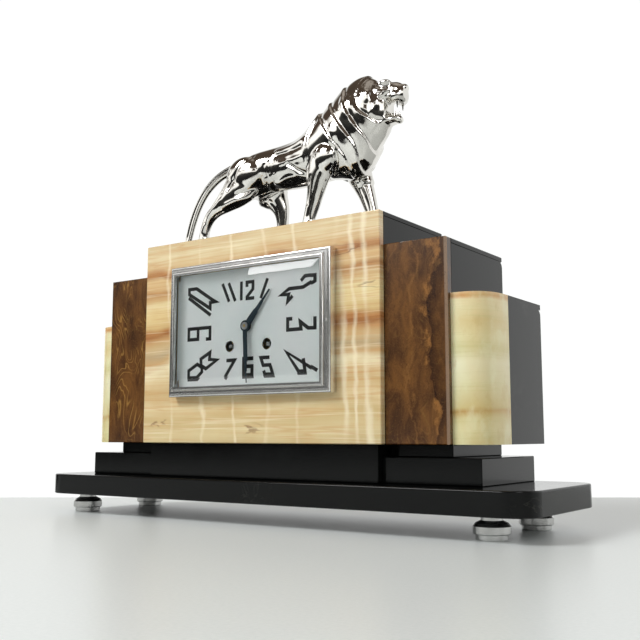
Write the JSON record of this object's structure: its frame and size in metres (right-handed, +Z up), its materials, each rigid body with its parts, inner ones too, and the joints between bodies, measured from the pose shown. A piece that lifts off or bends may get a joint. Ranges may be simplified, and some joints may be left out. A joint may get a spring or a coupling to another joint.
{
  "type": "mantel clock",
  "caption": "Stepped stone mantel clock with hinged rectangular bezel, hands, going and striking movement, and a striding lion on top.",
  "frame": {"origin": "on the standing surface, under the middle of the base slab", "axes": "+X to the clock's right as seen from the front, +Y to the back, +Z up"},
  "size_m": [0.4596, 0.1324, 0.3588],
  "materials": {
    "black_marble": "polished",
    "cream_onyx": "polished, banded",
    "pale_onyx": "polished, banded",
    "brown_onyx": "polished, veined",
    "nickel_plate": "bright plated casting",
    "bezel_nickel": "bright and satin",
    "turned_steel": "turned",
    "blued_steel": "blackened",
    "silvered_dial": "satin silvered, black numerals",
    "clear_glass": "bevelled",
    "movement_brass": "lacquered",
    "plain_steel": "bright",
    "spring_steel": "blued"
  },
  "bodies": {
    "case": {"base_slab": "black_marble", "plinth_centre": "black_marble", "plinth_step_left": "black_marble", "plinth_step_right": "black_marble", "plinth_cap_left": "black_marble", "plinth_cap_right": "black_marble", "centre_side_left": "black_marble", "centre_side_right": "black_marble", "centre_top": "black_marble", "centre_back": "black_marble", "brown_side_left": "black_marble", "brown_side_right": "black_marble", "outer_side_left": "black_marble", "outer_side_right": "black_marble", "wing_top_slabs": "black_marble", "wing_back_panels": "black_marble", "centre_front_onyx": "cream_onyx", "brown_front_left": "brown_onyx", "brown_front_right": "brown_onyx", "outer_front_left": "pale_onyx", "outer_front_right": "pale_onyx", "lion_statuette": "nickel_plate", "feet": "turned_steel", "dial_plate": "silvered_dial", "movement_front_plate": "movement_brass", "movement_back_plate": "movement_brass", "plate_pillars": "movement_brass", "dial_surround": "movement_brass", "rear_ring": "movement_brass", "suspension_cock": "movement_brass", "lion_nuts": "plain_steel", "hinge_pins": "plain_steel", "movement_straps": "plain_steel", "strap_screws": "plain_steel", "ratchet_clicks": "plain_steel", "mainsprings": "spring_steel", "gong": "spring_steel"},
    "door": {"bezel_frame": "bezel_nickel", "bezel_glass": "clear_glass", "bezel_catch": "bezel_nickel"},
    "minute_arbor": {"minute_hand": "blued_steel", "hand_nut": "plain_steel", "cannon_pinion": "plain_steel"},
    "hour_pipe": {"hour_hand": "blued_steel", "hour_wheel": "movement_brass"},
    "minute_wheel_body": {"minute_wheel": "movement_brass"},
    "going_barrel_body": {"going_barrel": "movement_brass"},
    "going_winding": {"going_winding_arbor": "plain_steel"},
    "intermediate_arbor": {"intermediate_wheel": "movement_brass"},
    "centre_arbor": {"centre_wheel": "movement_brass"},
    "third_arbor": {"third_wheel": "movement_brass"},
    "escape_arbor": {"escape_wheel": "movement_brass"},
    "anchor": {"pallets_and_crutch": "plain_steel"},
    "pendulum": {"pendulum_rod": "plain_steel", "pendulum_bob": "movement_brass"},
    "strike_barrel_body": {"strike_barrel": "movement_brass"},
    "strike_winding": {"strike_winding_arbor": "plain_steel"},
    "pin_wheel_body": {"strike_pin_wheel": "movement_brass"},
    "hammer": {"strike_hammer": "plain_steel"},
    "back_door": {"rear_cover": "movement_brass"}
  },
  "joints": [
    {"name": "bezel_door_hinge", "type": "hinge", "parent": "case", "child": "door", "pos_m": [-0.09165, -0.04765, 0.1545], "axis": [0, 0, -1], "range_deg": [0, 110]},
    {"name": "minute_hand_turn", "type": "hinge", "parent": "case", "child": "minute_arbor", "pos_m": [-0.00825, -0.05075, 0.1545], "axis": [0, 1, 0], "continuous": true},
    {"name": "hour_hand_turn", "type": "hinge", "parent": "case", "child": "hour_pipe", "pos_m": [-0.00825, -0.04975, 0.1545], "axis": [0, 1, 0], "continuous": true},
    {"name": "minute_wheel_turn", "type": "hinge", "parent": "case", "child": "minute_wheel_body", "pos_m": [-0.00825, -0.03825, 0.1425], "axis": [0, 1, 0], "continuous": true},
    {"name": "escape_wheel_turn", "type": "hinge", "parent": "case", "child": "escape_arbor", "pos_m": [-0.00825, -0.01725, 0.18076], "axis": [0, 1, 0], "continuous": true},
    {"name": "third_wheel_turn", "type": "hinge", "parent": "case", "child": "third_arbor", "pos_m": [-0.00825, -0.01725, 0.16828], "axis": [0, 1, 0], "continuous": true},
    {"name": "centre_wheel_turn", "type": "hinge", "parent": "case", "child": "centre_arbor", "pos_m": [-0.00825, -0.01725, 0.1545], "axis": [0, 1, 0], "continuous": true},
    {"name": "intermediate_wheel_turn", "type": "hinge", "parent": "case", "child": "intermediate_arbor", "pos_m": [0.00514, -0.01725, 0.15886], "axis": [0, 1, 0], "continuous": true},
    {"name": "going_barrel_turn", "type": "hinge", "parent": "case", "child": "going_barrel_body", "pos_m": [0.01075, -0.01725, 0.1395], "axis": [0, 1, 0], "continuous": true},
    {"name": "going_winding_turn", "type": "hinge", "parent": "case", "child": "going_winding", "pos_m": [0.01075, -0.01725, 0.1395], "axis": [0, 1, 0], "continuous": true},
    {"name": "strike_barrel_turn", "type": "hinge", "parent": "case", "child": "strike_barrel_body", "pos_m": [-0.02725, -0.01725, 0.1395], "axis": [0, 1, 0], "continuous": true},
    {"name": "pin_wheel_turn", "type": "hinge", "parent": "case", "child": "pin_wheel_body", "pos_m": [-0.02164, -0.01725, 0.15886], "axis": [0, 1, 0], "continuous": true},
    {"name": "strike_winding_turn", "type": "hinge", "parent": "case", "child": "strike_winding", "pos_m": [-0.02725, -0.01725, 0.1395], "axis": [0, 1, 0], "continuous": true},
    {"name": "pendulum_swing", "type": "hinge", "parent": "case", "child": "pendulum", "pos_m": [-0.00825, 0.01075, 0.1915], "axis": [0, 1, 0], "range_deg": [-4, 4]},
    {"name": "anchor_rock", "type": "hinge", "parent": "case", "child": "anchor", "pos_m": [-0.00825, -0.00525, 0.1915], "axis": [0, 1, 0], "range_deg": [-4, 4]},
    {"name": "hammer_lift", "type": "hinge", "parent": "case", "child": "hammer", "pos_m": [-0.03725, 0.00275, 0.1665], "axis": [0, 1, 0], "range_deg": [0, 14]},
    {"name": "rear_cover_hinge", "type": "hinge", "parent": "case", "child": "back_door", "pos_m": [-0.05475, 0.05835, 0.1545], "axis": [0, 0, 1], "range_deg": [0, 110]}
  ],
  "couplings": [
    {"joint": "hour_hand_turn", "follows": "minute_hand_turn", "ratio": 0.083333},
    {"joint": "minute_wheel_turn", "follows": "minute_hand_turn", "ratio": -0.33333},
    {"joint": "third_wheel_turn", "follows": "escape_wheel_turn", "ratio": -0.083333},
    {"joint": "centre_wheel_turn", "follows": "escape_wheel_turn", "ratio": 0.0069444},
    {"joint": "intermediate_wheel_turn", "follows": "escape_wheel_turn", "ratio": -0.0015432},
    {"joint": "going_barrel_turn", "follows": "escape_wheel_turn", "ratio": 0.00022046},
    {"joint": "pin_wheel_turn", "follows": "strike_barrel_turn", "ratio": -7},
    {"joint": "anchor_rock", "follows": "pendulum_swing", "ratio": 1}
  ]
}
